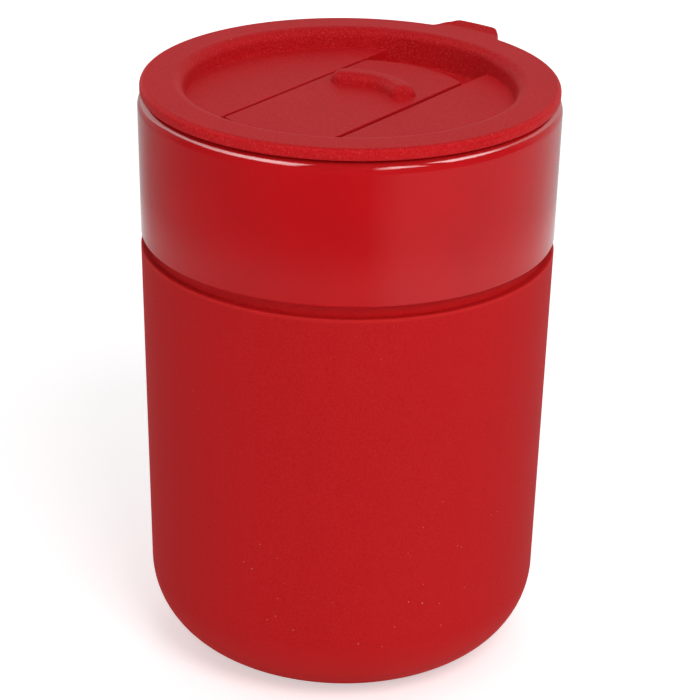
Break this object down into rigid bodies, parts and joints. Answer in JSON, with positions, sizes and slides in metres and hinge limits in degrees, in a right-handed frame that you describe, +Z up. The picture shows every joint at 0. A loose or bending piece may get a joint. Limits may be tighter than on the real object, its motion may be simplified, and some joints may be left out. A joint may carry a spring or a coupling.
{
  "type": "travel mug",
  "caption": "Ceramic travel mug in a silicone sleeve, with a press-in lid, a lift tab and a sliding cover over the drinking hole.",
  "frame": {"origin": "centre of the flat resting face, on the mug's axis", "axes": "+Z up along the mug's axis, +Y from the axis towards the lift tab, so the drinking hole is at -Y"},
  "size_m": [0.0852, 0.0883, 0.1238],
  "materials": {
    "glaze": "glossy",
    "sleeve_silicone": "matte",
    "lid_plastic": "fine matte grain",
    "seal_silicone": "satin"
  },
  "bodies": {
    "mug": {"ceramic_cup": "glaze", "silicone_sleeve": "sleeve_silicone"},
    "lid": {"lid_body": "lid_plastic", "lid_gasket": "seal_silicone"},
    "slider": {"lid_slider": "lid_plastic", "slider_keeper": "lid_plastic", "slider_seal": "seal_silicone"}
  },
  "joints": [
    {"name": "lid_lift", "type": "slide", "parent": "mug", "child": "lid", "axis": [0, 0, 1], "range_m": [0, 0.045]},
    {"name": "slider_slide", "type": "slide", "parent": "lid", "child": "slider", "axis": [0, 1, 0], "range_m": [0, 0.007]}
  ]
}
